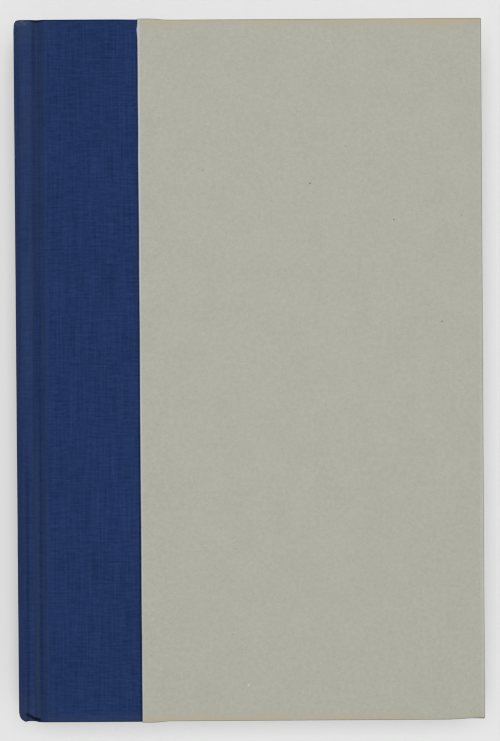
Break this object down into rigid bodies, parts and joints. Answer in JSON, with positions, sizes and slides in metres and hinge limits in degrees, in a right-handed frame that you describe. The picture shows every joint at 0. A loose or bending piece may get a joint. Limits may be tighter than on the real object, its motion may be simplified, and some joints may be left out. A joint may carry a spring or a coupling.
{
  "type": "hardback book",
  "caption": "Quarter-bound hardback book with a rounded cloth spine, paper-covered sides, joint grooves and headbands; both covers hinge open beside the spine",
  "frame": {"origin": "under the middle of the closed book, on the surface that it lies on", "axes": "+X from the spine to the fore-edge, +Y from the tail to the head, +Z from the back cover to the front cover"},
  "size_m": [0.1626, 0.2416, 0.0304],
  "materials": {
    "leaves": "uncoated cream book paper",
    "endpaper": "uncoated off-white paper",
    "side_paper": "warm grey paper, matt, lightly toned at the edges",
    "cloth": "dark blue book cloth, fine plain weave, rubbed along the joint",
    "board": "grey-brown binder's board",
    "mull": "open-weave cotton stiffened with glue",
    "kraft_paper": "brown kraft paper",
    "band": "woven band, blue and off-white"
  },
  "bodies": {
    "block": {"text_block": "leaves", "front_flyleaf": "endpaper", "back_flyleaf": "endpaper", "mull": "mull", "spine_lining": "kraft_paper", "headband": "band", "tailband": "band", "spine_inlay": "board", "spine_cloth": "cloth"},
    "front_cover": {"front_board": "board", "front_cloth": "cloth", "front_side_paper": "side_paper", "front_mull_flange": "mull", "front_pastedown": "endpaper"},
    "back_cover": {"back_board": "board", "back_cloth": "cloth", "back_side_paper": "side_paper", "back_mull_flange": "mull", "back_pastedown": "endpaper"}
  },
  "joints": [
    {"name": "front_cover_hinge", "type": "hinge", "parent": "block", "child": "front_cover", "pos_m": [-0.07544, 0, 0.02934], "axis": [0, -1, 0], "range_deg": [0, 175]},
    {"name": "back_cover_hinge", "type": "hinge", "parent": "block", "child": "back_cover", "pos_m": [-0.07544, 0, 0.00108], "axis": [0, 1, 0], "range_deg": [0, 175]}
  ]
}
